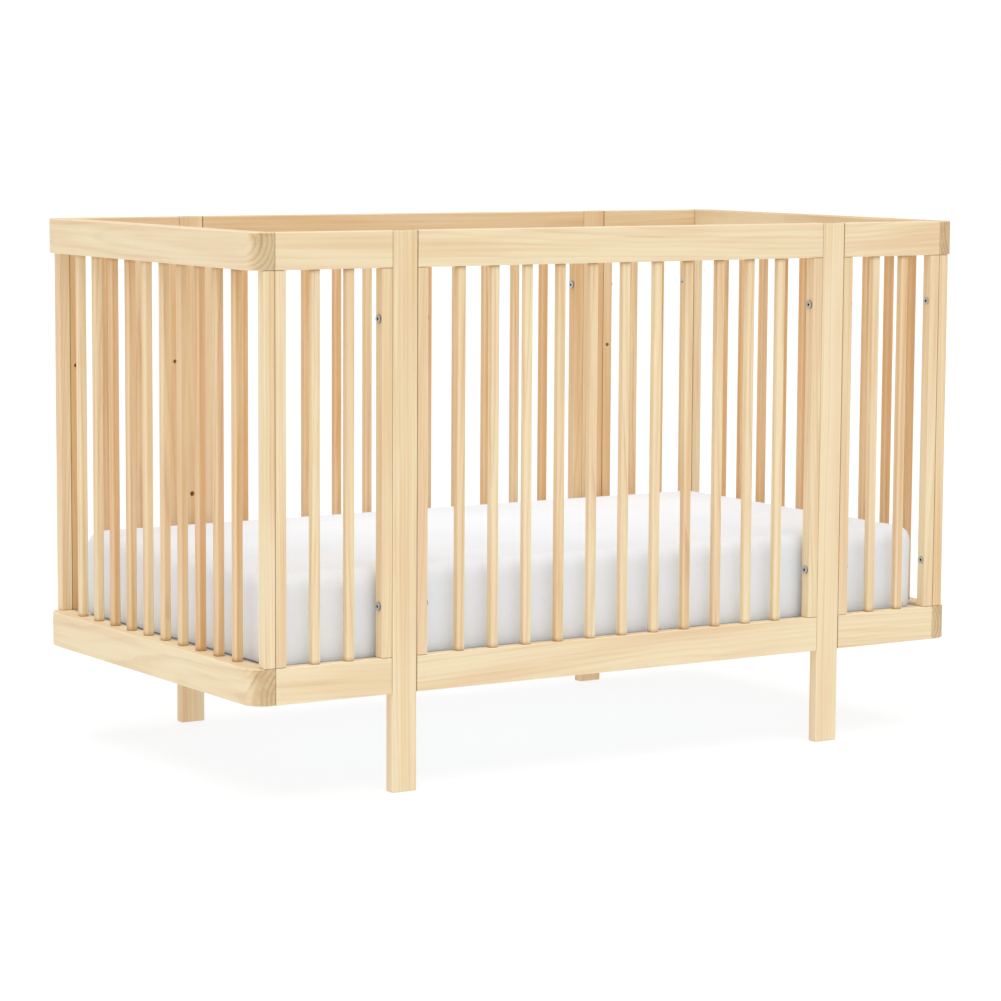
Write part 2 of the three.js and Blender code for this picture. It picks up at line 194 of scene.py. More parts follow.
def lacquered_pine(name, pale, warm, latewood, ring, drift, contrast):
    """Pine under clear satin lacquer.

    Growth rings are shells about the pith: the distance from it, shifted by slow noise, is divided by the
    ring width, and its fraction climbs slowly through earlywood and falls sharply after latewood. Fibres are
    noise stretched along the grain. The attribute "grain" holds (across, across, along) measured from the
    pith, and "board" holds (tone, edge, end grain), where edge is above 0 on an arris, painted paler as
    rubbed wear and as a painted highlight, and below 0 along a joint, where a brown painted shade stands
    for the shade in the joint.
    """
    r = Recipe(name, Coat_Weight=0.12, Coat_Roughness=0.35, IOR=1.45)
    grain = r.attribute("grain")
    tone, edge, end = r.parts(r.attribute("board"))[:3]

    slow = r.noise(r.vector("MULTIPLY", grain, (9, 9, 1.3)), detail=2.0)
    ripple = r.noise(r.vector("MULTIPLY", grain, (34, 34, 6)), detail=2.0)
    wander = r.maths("MULTIPLY_ADD", slow, drift, r.maths("MULTIPLY", ripple, drift * 0.22))
    radius = r.vector("LENGTH", r.vector("MULTIPLY", grain, (1, 1, 0)))
    rings = r.maths("DIVIDE", r.maths("ADD", radius, wander), ring)
    share = r.maths("FRACT", rings)
    year = r.node("TexWhiteNoise", {"W": r.maths("FLOOR", rings)}, noise_dimensions="1D").outputs[0]
    late = r.ramp(share, [(0.0, 0.3), (0.12, 0.06), (0.4, 0.0), (0.68, 0.35), (0.88, 1.0), (0.97, 0.8)])

    fibre = r.noise(r.vector("MULTIPLY", grain, (900, 900, 14)), detail=3.0, roughness=0.6)
    streak = r.noise(r.vector("MULTIPLY", grain, (150, 150, 2.5)), detail=2.0)
    cloud = r.noise(r.vector("MULTIPLY", grain, (22, 22, 1.6)), detail=2.0)
    patch = r.noise(r.vector("MULTIPLY", grain, (30, 30, 9)), detail=2.0)

    depth = r.maths("MULTIPLY", late, r.between(year, 0.0, 1.0, 0.2, 1.0))
    depth = r.maths("MULTIPLY", depth, r.between(patch, 0.3, 0.7, 0.55, 1.0))
    depth = r.maths("MULTIPLY", depth, r.between(end, 0.25, 0.95, contrast, 0.8))
    warmth = r.maths("ADD", tone, r.between(cloud, 0.3, 0.7, -0.3, 0.3))
    warmth = r.maths("ADD", warmth, r.between(streak, 0.3, 0.7, -0.14, 0.14), clamp=True)
    body = r.mix(warmth, colour(pale), colour(warm))
    blush = r.noise(r.vector("MULTIPLY", grain, (26, 26, 2.4)), detail=1.0)
    body = r.mix(r.between(blush, 0.45, 0.75, 0.0, 0.45), body, colour("E8C5A0"))
    body = r.mix(r.between(end, 0.3, 0.95, 0.0, 0.8), body, r.mix(warmth, colour("CDB488"), colour("BC8F57")))
    ringed = r.mix(depth, body, r.mix(end, colour(latewood), colour("96703F")))
    fleck = r.between(fibre, 0.58, 0.8, 0.0, 0.2)
    fibrous = r.mix(fleck, ringed, colour("B98B52"))
    # rubbed wear and painted highlight: arrises are painted paler where edge is above 0
    rubbed = r.mix(r.maths("MULTIPLY", edge, 0.3, clamp=True), fibrous, colour("FBEBCB"))
    # painted shade: joints and slat ends are painted brown where edge is below 0
    joint_shaded = r.mix(r.maths("MULTIPLY", edge, -0.4, clamp=True), rubbed, colour("9A6B38"))

    rough = r.between(fibre, 0.3, 0.7, 0.42, 0.56)
    rough = r.maths("MULTIPLY_ADD", edge, -0.12, rough)
    height = r.maths("MULTIPLY_ADD", late, 0.5, r.maths("MULTIPLY", fibre, 0.5))
    return r.finish(joint_shaded, rough, height, strength=0.2, distance=0.25 * MM)


def zinc_plate():
    """Zinc-plated steel: grey with fine tumbling marks, a painted highlight on its rim, painted shade in its
    hollows.
    """
    r = Recipe("zinc_plate", Metallic=1.0)
    place = r.node("TexCoord").outputs["Object"]
    _, edge, painted_socket_shade = r.parts(r.attribute("board"))[:3]
    marks = r.noise(r.vector("MULTIPLY", place, (2500, 2500, 2500)), detail=2.0)
    stains = r.noise(r.vector("MULTIPLY", place, (300, 300, 300)), detail=2.0)
    base = r.mix(r.between(stains, 0.35, 0.7), colour("8E8D89"), colour("64615B"))
    # painted highlight along the rim and chamfer of a head
    base = r.mix(r.maths("MULTIPLY", edge, 0.7), base, colour("EDECE8"))
    # painted shade, near black, in the socket and round the foot of a head
    base = r.mix(painted_socket_shade, base, colour("1E1B18"))
    rough = r.between(marks, 0.3, 0.7, 0.26, 0.42)
    return r.finish(base, rough, marks, strength=0.15, distance=0.1 * MM)


def enamelled_steel():
    """White stove enamel on angle iron: a slight orange-peel skin, and grey rubbed through in small spots."""
    r = Recipe("enamelled_steel", Coat_Weight=0.3, Coat_Roughness=0.2)
    place = r.node("TexCoord").outputs["Object"]
    peel = r.noise(r.vector("MULTIPLY", place, (420, 420, 420)), detail=2.0)
    cloud = r.noise(r.vector("MULTIPLY", place, (7, 7, 7)), detail=3.0)
    scuffs = r.noise(r.vector("MULTIPLY", place, (30, 30, 240)), detail=5.0, roughness=0.7)
    base = r.mix(r.between(cloud, 0.35, 0.7), colour("E9E9E6"), colour("DEDEDA"))
    base = r.mix(r.between(scuffs, 0.68, 0.76, 0.0, 0.6), base, colour("8E9093"))
    rough = r.between(peel, 0.3, 0.7, 0.32, 0.48)
    return r.finish(base, rough, peel, strength=0.2, distance=0.2 * MM)


def spring_wire():
    """Drawn galvanised wire: bright grey with dull blotches, and die lines along its length."""
    r = Recipe("spring_wire", Metallic=1.0)
    place = r.node("TexCoord").outputs["Object"]
    blotch = r.noise(r.vector("MULTIPLY", place, (90, 90, 90)), detail=3.0)
    lines = r.noise(r.vector("MULTIPLY", place, (1800, 1800, 1800)), detail=1.0)
    base = r.mix(r.between(blotch, 0.35, 0.7), colour("C4C5C6"), colour("9A9C9F"))
    rough = r.between(blotch, 0.3, 0.7, 0.28, 0.5)
    return r.finish(base, rough, lines, strength=0.1, distance=0.05 * MM)


def sheet_cotton():
    """White percale: two sets of threads at right angles, with slubs that run along one of them."""
    r = Recipe("sheet_cotton", Sheen_Weight=0.25, Sheen_Roughness=0.5)
    weave = r.attribute("cloth")
    across, along, _ = r.parts(weave)
    threads = 2 * math.pi / (0.55 * MM)
    warp = r.maths("SINE", r.maths("MULTIPLY", across, threads))
    weft = r.maths("SINE", r.maths("MULTIPLY", along, threads))
    thread = r.maths("MULTIPLY", warp, weft)
    slub = r.noise(r.vector("MULTIPLY", weave, (260, 30, 100)), detail=3.0)
    cloud = r.noise(r.vector("MULTIPLY", weave, (5, 5, 5)), detail=3.0)
    base = r.mix(r.between(cloud, 0.3, 0.7), colour("EFF4FB"), colour("EAF0F8"))
    base = r.mix(r.between(slub, 0.55, 0.75, 0.0, 0.35), base, colour("E1E8F2"))
    rough = r.between(slub, 0.3, 0.7, 0.82, 0.94)
    height = r.maths("MULTIPLY_ADD", thread, 0.35, slub)
    return r.finish(base, rough, height, strength=0.25, distance=0.12 * MM)


RAIL_PINE = lacquered_pine("rail_pine", "F0DEB8", "DDB581", "CB9C68",
                           ring=7.5 * MM, drift=30 * MM, contrast=0.27)
LEG_PINE = lacquered_pine("leg_pine", "F1DEB7", "DEB47F", "C79A62",
                          ring=5 * MM, drift=14 * MM, contrast=0.34)
SLAT_PINE = lacquered_pine("slat_pine", "F1DDB4", "DDAF78", "BF8A52",
                           ring=8 * MM, drift=26 * MM, contrast=0.5)
ZINC = zinc_plate()
STEEL = enamelled_steel()
WIRE = spring_wire()
PERCALE = sheet_cotton()


# ---------------------------------------------------------------- surfaces


def rounded_section(low, high, radius, steps=4):
    """Rounded rectangle: about each corner's centre c, points c + r (cos a, sin a) over a quarter turn.
    Returns the points, their outward normals, and how far each lies into its corner, 0 to 1 to 0."""
    (u0, v0), (u1, v1) = low, high
    turn = np.radians(np.arange(4)[:, None] * 90 + np.linspace(0, 90, steps + 1)[None, :])
    normals = np.stack([np.cos(turn), np.sin(turn)], -1)
    centre_u = np.array([u1 - radius, u0 + radius, u0 + radius, u1 - radius])[:, None]
    centre_v = np.array([v1 - radius, v1 - radius, v0 + radius, v0 + radius])[:, None]
    points = np.stack(np.broadcast_arrays(centre_u, centre_v), -1) + radius * normals
    depth = np.abs(np.sin(2 * turn))
    return points.reshape(-1, 2), normals.reshape(-1, 2), depth.ravel()


def ring_quads(rows, count):
    """Quads between closed rings of `count` points: point i of ring k joins point i + 1, and ring k + 1."""
    k, i = np.meshgrid(np.arange(rows - 1), np.arange(count), indexing="ij")
    after = (i + 1) % count
    quads = np.stack([k * count + i, k * count + after, (k + 1) * count + after, (k + 1) * count + i], -1)
    return quads.reshape(-1, 4)


def carried(section, start, end, ease, steps=3, bands=()):
    """A section carried from start to end, its rims eased by a quarter circle: at angle a from the side,
    the outline steps in by e (1 - cos a) and out along the path by e sin a. Ends are flat caps. `bands` are
    distances from both ends at which the sides get one more row of corners."""
    points, normals, depth = section
    turn = np.linspace(math.pi / 2, 0, steps + 1)
    bands, straight = np.array(bands, float), np.zeros(len(bands))
    inset = np.concatenate([ease * (1 - np.cos(turn)), straight, straight, ease * (1 - np.cos(turn[::-1]))])
    height = np.concatenate([start + ease * (1 - np.sin(turn)), start + bands,
                             end - bands[::-1], end - ease * (1 - np.sin(turn[::-1]))])
    lean = np.concatenate([-np.sin(turn), straight, straight, np.sin(turn[::-1])])
    rows, count = len(height), len(points)
    flat = points[None] - inset[:, None, None] * normals[None]
    place = np.dstack([flat, np.broadcast_to(height[:, None, None], (rows, count, 1))])
    upright = np.sqrt(1 - lean**2)[:, None, None] * normals[None]
    facing = np.dstack([upright, np.broadcast_to(lean[:, None, None], (rows, count, 1))])
    rim = np.abs(np.sin(2 * np.arcsin(np.clip(lean, -1, 1))))
    edge = np.maximum(np.broadcast_to(depth, (rows, count)), rim[:, None])
    faces = ring_quads(rows, count).tolist()
    faces.append(list(range(count - 1, -1, -1)))
    faces.append(list(range((rows - 1) * count, rows * count)))
    return place.reshape(-1, 3), facing.reshape(-1, 3), edge.ravel(), faces


def turned_to(axis, vectors):
    """Local (across, across, along) laid so that `along` runs on the named world axis, keeping handedness."""
    return np.roll(vectors, AXES[axis] + 1, axis=1)


def joined(surfaces):
    """Several (place, facing, edge, faces, *more) surfaces as one, with the face numbers moved up."""
    offset, faces = 0, []
    for surface in surfaces:
        faces += [[corner + offset for corner in face] for face in surface[3]]
        offset += len(surface[0])
    stacked = [np.concatenate([s[i] for s in surfaces]) for i in range(len(surfaces[0])) if i != 3]
    return stacked[0], stacked[1], stacked[2], faces, *stacked[3:]


def grain_about_pith(place, axis, lean, tilt=0.018):
    """Each point measured from the tree's pith: the board lies 35 to 100 mm out from it, turned `lean`
    degrees off its thin way, starts 2 to 30 m along, and leans to it by a small random slope."""
    along = AXES[axis]
    across = [(along + 1) % 3, (along + 2) % 3]
    low, high = place.min(0), place.max(0)
    local = place - (low + high) / 2
    size = (high - low)[across]
    flat_sawn = math.pi / 2 if size[1] < size[0] else 0.0
    off = math.radians(RANDOM.uniform(*lean)) * RANDOM.choice((-1, 1))
    out, way = RANDOM.uniform(0.035, 0.1), flat_sawn + off + math.pi * RANDOM.integers(2)
    slope = RANDOM.normal(0, tilt, 2)
    u = local[:, across[0]] + out * math.cos(way) + slope[0] * local[:, along]
    v = local[:, across[1]] + out * math.sin(way) + slope[1] * local[:, along]
    return np.stack([u, v, local[:, along] + RANDOM.uniform(2, 30)], 1)


def board_facts(facing, edge, axis, tone):
    """(tone, edge, end grain): end grain is how squarely a face cuts across the grain, |n . along|."""
    end = np.abs(facing[:, AXES[axis]])
    return np.stack([np.full(len(edge), tone), edge, end], 1)


def read_vectors(mesh, name):
    """A mesh's vectors of one name, such as "position", one row per corner."""
    values = np.zeros(len(mesh.vertices) * 3, np.float32)
    mesh.attributes[name].data.foreach_get("vector", values)
    return values.reshape(-1, 3).astype(float)


def put_vectors(mesh, name, values):
    """Writes one row per corner as a new vector attribute."""
    made = mesh.attributes.new(name, "FLOAT_VECTOR", "POINT")
    made.data.foreach_set("vector", values.astype(np.float32).ravel())


def piece(name, place, facing, faces, material, body, vectors=None):
    """A finished mesh object at the origin, shaded with the surface's own normals."""
    mesh = bpy.data.meshes.new(name)
    mesh.from_pydata(place.tolist(), [], faces)
    mesh.update()
    for key, values in (vectors or {}).items():
        put_vectors(mesh, key, values)
    mesh.shade_smooth()
    if facing is not None:
        mesh.normals_split_custom_set_from_vertices(facing.tolist())
    mesh.materials.append(material)
    made = bpy.data.objects.new(name, mesh)
    bpy.context.scene.collection.objects.link(made)
    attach(made, body)
    return made


# ---------------------------------------------------------------- timber


def timber(place, facing, edge, faces, grain_axis, tone, lean=(25, 75)):
    """A board's surface with its grain and its board facts."""
    return (place, facing, edge, faces, grain_about_pith(place, grain_axis, lean),
            board_facts(facing, edge, grain_axis, tone))


def rounded_board(low, high, axis, radius, ease, tone, joints=(), shade=JOINT_SHADE):
    """A straight board: a rounded rectangle carried along its grain. `joints` names the faces, such as "x-",
    that lie against other boards; within `shade` of them, at a share s of it, the board gets painted shade,
    a brown of depth 1 - s, or SLAT_SHADE_DEPTH (1 - s)^2 where the shade runs out past the eased rim."""
    along = AXES[axis]
    u, v = (along + 1) % 3, (along + 2) % 3
    section = rounded_section((low[u], low[v]), (high[u], high[v]), radius)
    long_shade = shade > ease
    bands = (0.4 * shade, shade) if long_shade else ()      # corners enough to carry the square law
    place, facing, edge, faces = carried(section, low[along], high[along], ease, bands=bands)
    place = turned_to(axis, place)
    for joint in joints:
        face = (low if joint[1] == "-" else high)[AXES[joint[0]]]
        near = 1 - np.abs(place[:, AXES[joint[0]]] - face) / shade
        painted_joint_shade = SLAT_SHADE_DEPTH * near**2 if long_shade else near
        edge = np.where(near > 1e-6, np.minimum(edge, -painted_joint_shade), edge)
    return timber(place, turned_to(axis, facing), edge, faces, axis, tone)


def end_rail(low, high, outward, tone):
    """A rail across an end: its plan outline is a rectangle whose two outer corners are quarter circles of
    END_CORNER, carried upwards with eased rims. The grain runs along Y."""
    small, steps = STILE_EDGE, 10
    inner_x, outer_x = (low[0], high[0]) if outward > 0 else (high[0], low[0])
    outline, normals, depth = [], [], []
    corners = [
        (outer_x - outward * END_CORNER, high[1] - END_CORNER, END_CORNER, outward, 1),
        (inner_x + outward * small, high[1] - small, small, -outward, 1),
        (inner_x + outward * small, low[1] + small, small, -outward, -1),
        (outer_x - outward * END_CORNER, low[1] + END_CORNER, END_CORNER, outward, -1),
    ]
    for index, (cx, cy, radius, sx, sy) in enumerate(corners):
        turn = np.linspace(0, math.pi / 2, steps + 1)
        if index % 2:
            turn = turn[::-1]
        normal = np.stack([sx * np.cos(turn), sy * np.sin(turn)], 1)
        outline.append(np.array([cx, cy]) + radius * normal)
        normals.append(normal)
        depth.append(np.sin(2 * turn) if radius == small else np.zeros(steps + 1))
    outline, normals, depth = np.concatenate(outline), np.concatenate(normals), np.concatenate(depth)
    if outward < 0:
        outline, normals, depth = outline[::-1], normals[::-1], depth[::-1]
    place, facing, edge, faces = carried((outline, normals, depth), low[2], high[2], RAIL_EDGE)
    return timber(place, facing, edge, faces, "y", tone, lean=(5, 16))


def node_corners(node, shrink=(0, 0, 0)):
    """A node's lowest and highest corners, drawn in by shares of the hairline gap on each axis."""
    low, high = (np.array(corner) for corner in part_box(node))
    gap = np.array(shrink) * JOINT_GAP
    return low + gap, high - gap


def timber_piece(node, surface, material, bit=None):
    """The finished board that stands for a node, with a blind hole where there is a bit for it."""
    place, facing, _, faces, grain, facts = surface
    made = piece(f"pine_{node}", place, facing, faces, material, CRIB, {"grain": grain, "board": facts})
    if bit:
        put_vectors(made.data, "facing", facing)
        drilled(made, bit)
        made.data.attributes.remove(made.data.attributes["facing"])
    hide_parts(node)
    return made


def tone(low, high):
    """How far a board's colour lies from pale to warm, drawn at random."""
    return float(RANDOM.uniform(low, high))


def slat_centres(node, across):
    """Slat centres found from the node's own corners: the clusters of those level with the rail's top."""
    corners = read_vectors(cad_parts[node].data, "position")
    level = np.abs(corners[:, 2] - LOWER_RAIL_TOP) < 0.1 * MM
    places = np.sort(corners[level][:, across])
    groups = np.split(places, np.where(np.diff(places) > SLAT_WIDTH * 1.2)[0] + 1)
    return [float((group.min() + group.max()) / 2) for group in groups]


LOWER_RAIL_TOP = float(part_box("front_middle_bottom_rail")[1][2])
TOP_RAIL_BOTTOM = float(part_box("front_middle_top_rail")[0][2])


def slat_row(node, axis, tones):
    """A panel's slats: one soft-edged square stick at each centre, butted between the rails."""
    along = AXES[axis]
    other = 1 - along
    low, high = node_corners(node)
    line = (low[other] + high[other]) / 2
    half = SLAT_WIDTH / 2
    sticks = []
    for centre in slat_centres(node, along):
        middle = np.zeros(2)
        middle[along], middle[other] = centre, line
        bottom = np.array([*(middle - half), LOWER_RAIL_TOP + SLAT_PLAY])
        top = np.array([*(middle + half), TOP_RAIL_BOTTOM - SLAT_PLAY])
        # painted shade runs SLAT_SHADE up each slat from both rails
        sticks.append(rounded_board(bottom, top, "z", SLAT_EDGE, JOINT_SHADE, tone(*tones),
                                    joints=("z-", "z+"), shade=SLAT_SHADE))
    timber_piece(node, joined(sticks), SLAT_PINE)


def drill_bit(centre, direction, radius, depth):
    """A closed cylinder along +Y or -Y, from 1 mm outside the face at `centre` to `depth` inside it: two
    rings of points (r cos a, y, r sin a) and two caps. Returns its points and faces."""
    count = 24
    turn = np.linspace(0, 2 * math.pi, count, endpoint=False)
    around = np.arange(count)
    across, up = radius * np.cos(turn), -direction * radius * np.sin(turn)
    rings = [np.stack([across, np.full(count, direction * y), up], 1) for y in (-1 * MM, depth)]
    faces = ring_quads(2, count).tolist()
    faces += [around[::-1].tolist(), (around + count).tolist()]
    return np.concatenate(rings) + np.array(centre), faces


def drilled(made, bit):
    """Takes a bit out of a board. The grain vector is a linear function of place, so it is fitted on the
    old corners and worked out again on the new ones; a corner of the hole takes its wall's own normal."""
    old = made.data
    place, facing, grain, facts = (read_vectors(old, key) for key in ("position", "facing", "grain", "board"))
    with_one = np.column_stack([place, np.ones(len(place))])
    affine = np.linalg.lstsq(with_one, grain, rcond=None)[0]
    points, faces = bit
    cutter_mesh = bpy.data.meshes.new("bit")
    cutter_mesh.from_pydata(points.tolist(), [], faces)
    cutter = bpy.data.objects.new("bit", cutter_mesh)
    bpy.context.scene.collection.objects.link(cutter)
    drill = made.modifiers.new("drill", "BOOLEAN")
    drill.object, drill.operation, drill.solver = cutter, "DIFFERENCE", "EXACT"
    graph = bpy.context.evaluated_depsgraph_get()
    cut = bpy.data.meshes.new_from_object(made.evaluated_get(graph), depsgraph=graph)
    made.modifiers.clear()
    made.data = cut
    bpy.data.objects.remove(cutter)

    new_place = read_vectors(cut, "position")
    apart = np.linalg.norm(new_place[:, None] - place[None], axis=2)
    nearest, fresh = apart.argmin(1), apart.min(1) > 0.01 * MM
    new_grain = np.column_stack([new_place, np.ones(len(new_place))]) @ affine
    new_facts = np.where(fresh[:, None], [[facts[0, 0], 0, 0]], facts[nearest])
    new_facing = np.where(fresh[:, None], 0.0, facing[nearest])
    for key, values in (("grain", new_grain), ("board", new_facts)):
        cut.attributes.remove(cut.attributes[key])
        put_vectors(cut, key, values)
    corner_of = np.zeros(len(cut.loops), int)
    cut.loops.foreach_get("vertex_index", corner_of)
    sizes, flats = np.zeros(len(cut.polygons), int), np.zeros(len(cut.polygons) * 3)
    cut.polygons.foreach_get("loop_total", sizes)
    cut.polygons.foreach_get("normal", flats)
    flat = np.repeat(flats.reshape(-1, 3), sizes, axis=0)
    smooth = new_facing[corner_of]
    agree = (smooth * flat).sum(1) > 0.6
    cut.normals_split_custom_set(np.where(agree[:, None], smooth, flat).tolist())


# ---------------------------------------------------------------- the crib


def inner_hole(low, high, sign, hole):
    """The bit for a blind hole in the middle of a board's inner face, at the hole's height."""
    face = low[1] if sign > 0 else high[1]
    return drill_bit(((low[0] + high[0]) / 2, face, hole["height"]), sign, hole["radius"], hole["depth"])


def long_side(side, sign, tones):
    """The front (sign -1) or the back (sign 1): three slatted panels between and beside two legs."""
    for panel in ("left", "middle", "right"):
        name = f"{side}_{panel}"
        for rail in ("top_rail", "bottom_rail"):
            node = f"{name}_{rail}"
            low, high = node_corners(node, (1, 0, 0))
            surface = rounded_board(low, high, "x", RAIL_EDGE, JOINT_SHADE, tone(*tones[rail]), ("x-", "x+"))
            timber_piece(node, surface, RAIL_PINE)
        for stile in ("left_stile", "right_stile"):
            node = f"{name}_{stile}"
            low, high = node_corners(node, (1, 0, 0.8))
            joints = ("z-", "z+", "x-" if stile == "left_stile" else "x+")
            surface = rounded_board(low, high, "z", STILE_EDGE, JOINT_SHADE, tone(*tones["stiles"]), joints)
            bit = None if panel == "middle" else inner_hole(low, high, sign, ACCESSORY_HOLE)
            timber_piece(node, surface, LEG_PINE, bit)
        slat_row(f"{name}_slats", "x", tones["slats"])
    for leg in ("left_leg", "right_leg"):
        node = f"{side}_{leg}"
        low, high = node_corners(node, (1, 0, 0))
        surface = rounded_board(low, high, "z", LEG_EDGE, 2 * MM, tone(*tones["legs"]))
        timber_piece(node, surface, LEG_PINE, inner_hole(low, high, sign, SETTING_HOLE))


def crib_end(end, outward, tones):
    """The left end (outward -1) or the right end (outward 1): two rails, two stiles and a row of slats."""
    for rail in ("top_rail", "bottom_rail"):
        node = f"{end}_{rail}"
        low, high = node_corners(node)
        timber_piece(node, end_rail(low, high, outward, tone(*tones["rails"])), RAIL_PINE)
    for stile in ("front_stile", "back_stile"):
        node = f"{end}_{stile}"
        low, high = node_corners(node, (1, 0, 0.8))
        joints = ("z-", "z+", "x-" if outward > 0 else "x+")
        surface = rounded_board(low, high, "z", STILE_EDGE, JOINT_SHADE, tone(*tones["stiles"]), joints)
        timber_piece(node, surface, LEG_PINE)
    slat_row(f"{end}_slats", "y", tones["slats"])


# The back and the right end, whose inner faces are seen in shade, get warmer, darker tone ranges as painted
# shade; within each range a board's tone is drawn at random.
long_side("front", -1, {"top_rail": (0.05, 0.25), "bottom_rail": (0.0, 0.2), "stiles": (0.05, 0.35),
                        "legs": (0.0, 0.15), "slats": (0.0, 0.5)})
long_side("back", 1, {"top_rail": (0.6, 0.85), "bottom_rail": (0.3, 0.6), "stiles": (0.5, 0.9),
                      "legs": (0.5, 0.8), "slats": (0.45, 1.05)})
crib_end("left_end", -1, {"rails": (0.0, 0.15), "stiles": (0.1, 0.4), "slats": (0.1, 0.8)})
crib_end("right_end", 1, {"rails": (0.2, 0.5), "stiles": (0.3, 0.6), "slats": (0.65, 1.15)})


# ---------------------------------------------------------------- fasteners


def hex_socket_head(centre, axis, direction, radius, thickness, socket=2.2 * MM):
    """A turned head with a hexagonal socket. The profile is (radius, height, how hexagonal); a point at
    angle a stands at radius r (1 - h + h / cos(((a + 30) mod 60) - 30)), so h = 1 is a hexagon round r."""
    chamfer = 0.6 * MM
    profile = np.array([
        (0.0, 0.0, 0), (radius * 0.96, 0.0, 0), (radius, 0.2 * MM, 0), (radius, thickness - chamfer, 0),
        (radius - 0.3 * MM, thickness - 0.2 * MM, 0), (radius - chamfer, thickness, 0),
        (socket + 0.5 * MM, thickness, 0.6), (socket + 0.1 * MM, thickness - 0.15 * MM, 1),
        (socket, thickness - 0.5 * MM, 1), (socket, 0.5 * MM, 1), (0.0, 0.3 * MM, 1),
    ])
    # edge: where the rim gets a painted highlight; the next list: where painted shade darkens the socket and
    # the foot of the head
    edge = np.array([0, 0, 0.3, 0.2, 1, 0.8, 0.8, 0.6, 0, 0, 0.0])
    painted_socket_shade = np.array([0, 0.8, 0.7, 0.2, 0, 0, 0, 0.1, 0.8, 1, 1.0])
    count = 36
    turn = np.linspace(0, 2 * math.pi, count, endpoint=False)
    sector = np.mod(turn + math.pi / 6, math.pi / 3) - math.pi / 6
    hexagon = 1 / np.cos(sector)
    r, h, share = profile[1:-1].T
    ring = r[:, None] * (1 - share[:, None] + share[:, None] * hexagon[None])
    place = np.stack([ring * np.cos(turn), ring * np.sin(turn), np.broadcast_to(h[:, None], ring.shape)], -1)
    rows = len(r)
    place = place.reshape(-1, 3)
    base, tip = len(place), len(place) + 1
    place = np.vstack([place, [[0, 0, profile[0, 1]], [0, 0, profile[-1, 1]]]])
    around = np.arange(count)
    faces = ring_quads(rows, count).tolist()
    faces += np.stack([np.full(count, base), (around + 1) % count, around], 1).tolist()
    last = (rows - 1) * count
    faces += np.stack([last + around, last + (around + 1) % count, np.full(count, tip)], 1).tolist()
    facts = np.zeros((len(place), 3))
    facts[:base, 1] = np.repeat(edge[1:-1], count)
    facts[:base, 2] = np.repeat(painted_socket_shade[1:-1], count)
    # painted shade at the bottom of the socket
    facts[tip, 2] = 1
    if direction < 0:
        place = place * np.array([1, -1, -1])
    place = turned_to(axis, place) + np.array(centre)
    return place, np.zeros_like(place), np.zeros(len(place)), faces, facts


def fastener(name, heads, node=None):
    """One piece of several heads, standing for a CAD node where there is one."""
    place, _, _, faces, facts = joined(heads)
    made = piece(name, place, None, faces, ZINC, CRIB, {"board": facts})
    made.data.set_sharp_from_angle(angle=math.radians(40))
    if node:
        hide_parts(node)


def connector_bolt(node):
    """Bolt head and cap nut, one on each side of stile, leg and stile."""
    low, high = node_corners(node)
    middle, radius = (low + high) / 2, (high[2] - low[2]) / 2
    ends = ((high[0] - CONNECTOR_HEAD, 1), (low[0] + CONNECTOR_HEAD, -1))
    heads = [hex_socket_head((x, middle[1], middle[2]), "x", way, radius, CONNECTOR_HEAD) for x, way in ends]
    fastener(f"connector_{node}", heads, node)


def support_screw(node, inward):
    """The screw in a leg that a hanger of the mattress support sits on."""
    low, high = node_corners(node)
    middle = (low + high) / 2
    seat = high[1] - SCREW_HEAD["thickness"] if inward > 0 else low[1] + SCREW_HEAD["thickness"]
    head = hex_socket_head((middle[0], seat, middle[2]), "y", inward, **SCREW_HEAD)
    fastener(f"screw_{node}", [head], node)


def corner_bolts(side, corner):
    """The two bolts from a long side's outer stile into the end panel."""
    low, high = node_corners(f"{side}_{corner}_{corner}_stile")
    face, way = (high[0], 1) if corner == "left" else (low[0], -1)
    line = (low[1] + high[1]) / 2
    heads = [hex_socket_head((face, line, height), "x", way, **CORNER_HEAD) for height in CORNER_BOLT_HEIGHTS]
    fastener(f"corner_bolts_{side}_{corner}", heads)


for side, inward in (("front", 1), ("back", -1)):
    for leg in ("left", "right"):
        for level in ("lower", "upper"):
            connector_bolt(f"{side}_{leg}_{level}_bolt")
        support_screw(f"{side}_{leg}_support_screw", inward)
for side in ("front", "back"):
    for corner in ("left", "right"):
        corner_bolts(side, corner)


# ---------------------------------------------------------------- support, deck and mattress

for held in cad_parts["support_frame"].material_slots:
    held.material = STEEL


def tube(points, radius, sides=6):
    """A round wire: at each point of the path, a circle in the plane of two unit vectors square to the
    path, the first taken from the direction that the path leans away from least."""
    ahead = np.gradient(points, axis=0)
    ahead /= np.linalg.norm(ahead, axis=1, keepdims=True)
    guide = np.eye(3)[np.argmin(np.abs(ahead).max(0))]
    first = np.cross(ahead, guide)
    first /= np.linalg.norm(first, axis=1, keepdims=True)
    second = np.cross(ahead, first)
    turn = np.linspace(0, 2 * math.pi, sides, endpoint=False)
    circle = np.cos(turn)[None, :, None] * first[:, None] + np.sin(turn)[None, :, None] * second[:, None]
    place = (points[:, None] + radius * circle).reshape(-1, 3)
    rows = len(points)
    faces = ring_quads(rows, sides)[:, [0, 3, 2, 1]].tolist()
    faces.append(list(range(sides)))
    faces.append(list(range(rows * sides - 1, (rows - 1) * sides - 1, -1)))
    return place, circle.reshape(-1, 3), np.zeros(len(place)), faces


